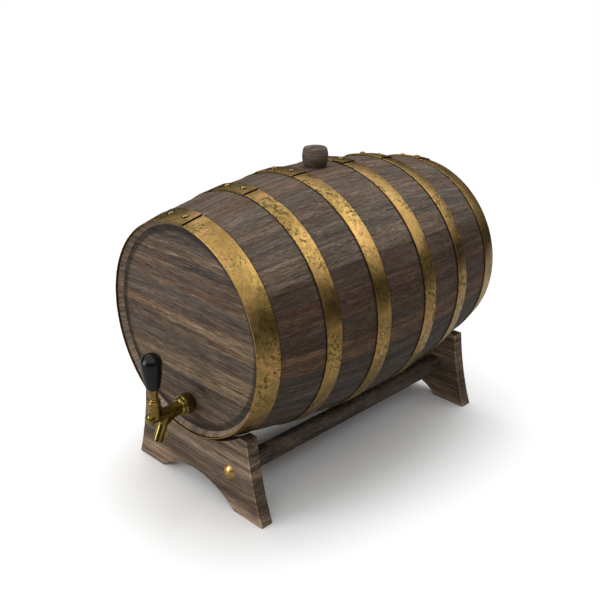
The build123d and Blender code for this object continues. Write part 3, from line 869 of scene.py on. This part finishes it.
def knob_outline():
    points = [(STEM_HOLE, KNOB_BOTTOM), (7.6, KNOB_BOTTOM), (8.4, KNOB_BOTTOM + 0.2),
              (8.95, KNOB_BOTTOM + 0.8)]
    steps = 22
    for k in range(1, steps):
        t = k / steps
        points.append((9.0 + 8.9 * t - 3.4 * t * t, KNOB_BOTTOM + KNOB_FLANK * t))
    centre = KNOB_BOTTOM + KNOB_FLANK
    for k in range(16):
        turn = math.radians(90 * k / 16)
        points.append((KNOB_WIDEST * math.cos(turn), centre + KNOB_WIDEST * math.sin(turn)))
    return points + [(0, centre + KNOB_WIDEST), (0, KNOB_HOLE_TOP), (STEM_HOLE, KNOB_HOLE_TOP)]


def ferrule_outline():
    hollow = DOME + DOME_GAP
    under = on_sphere(hollow, [10.26, 9.9, 9.4, 8.9, 8.3, 7.6, 6.95])
    side = [(8.4, 7.15), (8.45, 7.6), (8.25, 8.05), (7.8, 8.3), (6.9, 8.55), (6.2, 9.1), (5.85, 10.0),
            (5.68, 11.2), (5.66, 13.0)]
    steps = 8
    for k in range(1, steps + 1):
        t = k / steps
        side.append((5.66 + 1.6 * t + 0.15 * math.sin(math.pi * t), 13.0 + 11.0 * t))
    return under + side + [(7.4, 24.3), (7.3, 24.75), (7.05, KNOB_BOTTOM), (STEM_HOLE, KNOB_BOTTOM)]


def bonnet_outline():
    side = [(8.5, 0.4), (8.3, 0.55), (7.95, 0.7), (7.95, 1.45), (8.4, 1.6), (8.65, 1.85), (8.7, 2.2),
            (8.7, 5.0), (8.6, 5.5), (8.3, 5.9), (7.9, 6.15), (7.7, 6.5), (7.6, 7.0)]
    top = on_sphere(DOME, [7.9, 8.5, 9.1, 9.6, 10.0, 10.3])
    socket = on_sphere(BALL_SOCKET, [5.7, 5.4, 4.9, 4.3, 3.6])
    return side + top + [(0, DOME), (0, BALL_SOCKET)] + socket + [(7.7, 3.6), (7.7, 0.4)]


def stem_slot():
    """Wedge the stem swings through, in the bonnet's front."""
    profile = [(3.4, 0), (3.4, 14), (-10.3, 14), (-3.75, 0)]
    rows = [[Vector((x * MM, TOWER_Y + y * MM, PIVOT + z * MM)) for y, z in profile] for x in (-3.4, 3.4)]
    verts, faces = lattice(rows)
    return make_mesh("stem_slot", verts, faces)


NOSE_OUT = 4.8                                    # from the tower's face to the nose's tip
NOSE_OUTLINE = [
    (0, -2.5), (5.3, -2.5), (5.3, 0), (7.7, 0), (8.0, 0.3), (8.0, 1.3), (7.8, 1.6), (7.35, 1.75),
    (7.25, 2.0), (7.1, 2.5), (6.6, 3.2), (5.7, 3.85), (4.4, 4.35), (2.8, 4.65), (1.3, 4.78), (0, NOSE_OUT),
]
NUT_OUTLINE = [
    (10.2, 0), (14.7, 0), (15.0, 0.3), (15.0, 1.7), (14.75, 2.1), (14.3, 2.2), (13.7, 2.0), (13.1, 1.95),
    (12.6, 2.3), (12.35, 3.0), (12.25, 4.2), (12.0, 5.6), (11.5, 6.8), (10.7, 7.6), (9.7, 7.97), (8.5, 8.0),
    (8.2, 7.7), (8.2, 4.1), (10.2, 4.1),
]
PIPE_Z = (nut_low.z + nut_high.z) / 2
FORWARD = Matrix.Rotation(math.radians(90), 4, "X")
on_tower = Matrix.Translation((0, TOWER_Y, PIVOT))
on_nose = Matrix.Translation((0, nose_low.y + NOSE_OUT * MM, PIPE_Z)) @ FORWARD
on_nut = Matrix.Translation((0, nut_high.y, PIPE_Z)) @ FORWARD
turned("knob_gloss", "handle_knob", "handle", knob_outline(), on_tower, BLACK_KNOB)
turned("ferrule_turned", "handle_ferrule", "handle", ferrule_outline(), on_tower)
turned("bonnet_turned", "tap_bonnet", "barrel", bonnet_outline(), on_tower, cutter=stem_slot())
turned("nose_turned", "tap_nose", "barrel", NOSE_OUTLINE, on_nose)
turned("nut_turned", "coupling_nut", "barrel", NUT_OUTLINE, on_nut)

SPOUT_LEAN = math.radians(24.1)
SPOUT_ROOT = 17.6                                 # behind the tower's axis, along the pipe
WEB_HALF = 5.0                                    # half the thickness of the casting's webs


def tap_casting():
    """Body of the tap as one casting: the CAD node with a web and fillets, every edge softened."""
    work = bmesh.new()
    work.from_mesh(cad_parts["tap_body"].data)
    bmesh.ops.remove_doubles(work, verts=work.verts, dist=WELD)
    tower = Vector((0, TOWER_Y, PIPE_Z))
    root = tower + Vector((0, SPOUT_ROOT * MM, 0))

    def beside(start, y, z, down=0.0):
        """Point beside another, and so far down the spout."""
        lean = Vector((0, -math.sin(SPOUT_LEAN), -math.cos(SPOUT_LEAN)))
        return start + lean * down * MM + Vector((0, y * MM, z * MM))

    behind_spout = [beside(root, 24, -3.5), beside(root, 22, -8.2), beside(root, 10, -10.4),
                    beside(root, 6.6, 0, 19), beside(root, 4.0, 0, 24), beside(root, 0, 0, 15), root]
    before_spout = [beside(tower, 6, -3), root, beside(root, 0, 0, 12), beside(root, -6.2, 0, 11),
                    beside(tower, 5.0, -7.6)]
    for outline in (behind_spout, before_spout):
        rows = [[point + Vector((x * MM, 0, 0)) for point in outline] for x in (-WEB_HALF, WEB_HALF)]
        verts, faces = lattice(rows)
        added = [work.verts.new(v) for v in verts]
        for face in faces:
            work.faces.new([added[i] for i in face])
    bmesh.ops.recalc_face_normals(work, faces=work.faces)
    mesh = bpy.data.meshes.new("tap_casting")
    work.to_mesh(mesh)
    work.free()
    piece = finish_mesh("tap_casting", mesh, TAP_BRASS, "barrel", ["tap_body"], 35)
    remesh = piece.modifiers.new("cast", "REMESH")
    remesh.mode = "VOXEL"
    remesh.voxel_size = 0.42 * MM
    remesh.use_smooth_shade = True
    smooth = piece.modifiers.new("smooth", "SMOOTH")
    smooth.factor = 0.5
    smooth.iterations = 9


tap_casting()

# ---------------------------------------------------------------- camera, light and floor

CAMERA_AZIMUTH = math.radians(44.907)
CAMERA_HEIGHT = math.radians(22.45)
CAMERA_PLACE = (0.81943, MIDDLE - 0.85267, AXIS + 0.46001)
CAMERA_LENS = 50.4


def make_camera():
    data = bpy.data.cameras.new("camera")
    data.sensor_width = 36
    data.lens = CAMERA_LENS
    camera = bpy.data.objects.new("camera", data)
    back = Vector((math.sin(CAMERA_AZIMUTH) * math.cos(CAMERA_HEIGHT),
                   -math.cos(CAMERA_AZIMUTH) * math.cos(CAMERA_HEIGHT), math.sin(CAMERA_HEIGHT)))
    right = Vector((math.cos(CAMERA_AZIMUTH), math.sin(CAMERA_AZIMUTH), 0))
    up = back.cross(right)
    turn = Matrix((right, up, back)).transposed().to_4x4()
    camera.matrix_world = Matrix.Translation(CAMERA_PLACE) @ turn
    bpy.context.scene.collection.objects.link(camera)
    bpy.context.scene.camera = camera


def area_light(name, place, aim, size, power, shows="both"):
    """Square lamp. shows says if it lights surfaces (diffuse), mirrors in them (glossy) or does both."""
    data = bpy.data.lights.new(name, "AREA")
    data.shape = "SQUARE"
    data.size = size
    data.energy = power
    light = bpy.data.objects.new(name, data)
    light.location = place
    light.rotation_euler = (Vector(aim) - Vector(place)).to_track_quat("-Z", "Y").to_euler()
    light.visible_glossy = shows != "diffuse"
    light.visible_diffuse = shows != "glossy"
    bpy.context.scene.collection.objects.link(light)


# Brightness of the surroundings, from straight down (0) over the horizon (0.5) to straight up (1).
SKY = [(0.0, 0.03), (0.40, 0.06), (0.50, 0.40), (0.61, 1.02), (0.80, 1.05), (1.0, 0.90)]
FLOOR_RADIUS = 1.7
FLOOR_SEGMENTS = 96
FLOOR_SEEN = (1.0, 1.0, 1.0)
FLOOR_BOUNCE = (0.36, 0.36, 0.36)                 # so that it does not light the object from below
FLOOR_MIRRORED = (0.42, 0.42, 0.42)


def make_studio():
    """White backdrop. What lights the object is dark below and bright above, as under a soft box."""
    world = bpy.data.worlds.new("studio")
    world.use_nodes = True
    nodes, links = world.node_tree.nodes, world.node_tree.links
    place = nodes.new("ShaderNodeTexCoord")
    split = nodes.new("ShaderNodeSeparateXYZ")
    sky = nodes.new("ShaderNodeValToRGB")
    while len(sky.color_ramp.elements) < len(SKY):
        sky.color_ramp.elements.new(1.0)
    for element, (height, level) in zip(sky.color_ramp.elements, SKY):
        element.position = height
        element.color = (level, level, level, 1)
    ray = nodes.new("ShaderNodeLightPath")
    blend = nodes.new("ShaderNodeMix")
    blend.data_type = "RGBA"
    blend.inputs[7].default_value = (1, 1, 1, 1)
    links.new(place.outputs["Generated"], split.inputs[0])
    links.new(split.outputs[2], sky.inputs[0])
    links.new(ray.outputs["Is Camera Ray"], blend.inputs["Factor"])
    links.new(sky.outputs["Color"], blend.inputs[6])
    links.new(blend.outputs[2], nodes["Background"].inputs["Color"])
    bpy.context.scene.world = world
    bpy.context.scene.view_settings.view_transform = "Standard"
    mesh = bpy.data.meshes.new("floor")
    turns = [TURN * k / FLOOR_SEGMENTS for k in range(FLOOR_SEGMENTS)]
    rim = [(FLOOR_RADIUS * math.cos(turn), FLOOR_RADIUS * math.sin(turn), 0) for turn in turns]
    mesh.from_pydata(rim, [], [tuple(range(FLOOR_SEGMENTS))])
    floor = bpy.data.objects.new("floor", mesh)
    bpy.context.scene.collection.objects.link(floor)
    g = Graph("floor_white")
    ray = g.add("ShaderNodeLightPath").outputs
    pale = g.mix(ray["Is Glossy Ray"], FLOOR_BOUNCE, FLOOR_MIRRORED)
    pale = g.mix(ray["Is Camera Ray"], pale, FLOOR_SEEN)
    floor.data.materials.append(g.set(Base_Color=pale, Roughness=0.9, Specular_IOR_Level=0.0))
    area_light("key", (-0.25, 0.35, 2.4), (0, 0.03, 0.2), 1.4, 26, "diffuse")
    area_light("sheen", (0.95, 1.64, 1.88), (0, 0, 0.27), 2.2, 13, "glossy")
    area_light("near", (1.3, -2.2, 0.35), (0.1, 0.2, 0.1), 1.2, 9, "diffuse")
    area_light("fill", (-0.9, -2.2, 0.85), (0, -0.1, 0.25), 1.3, 24)


make_camera()
make_studio()
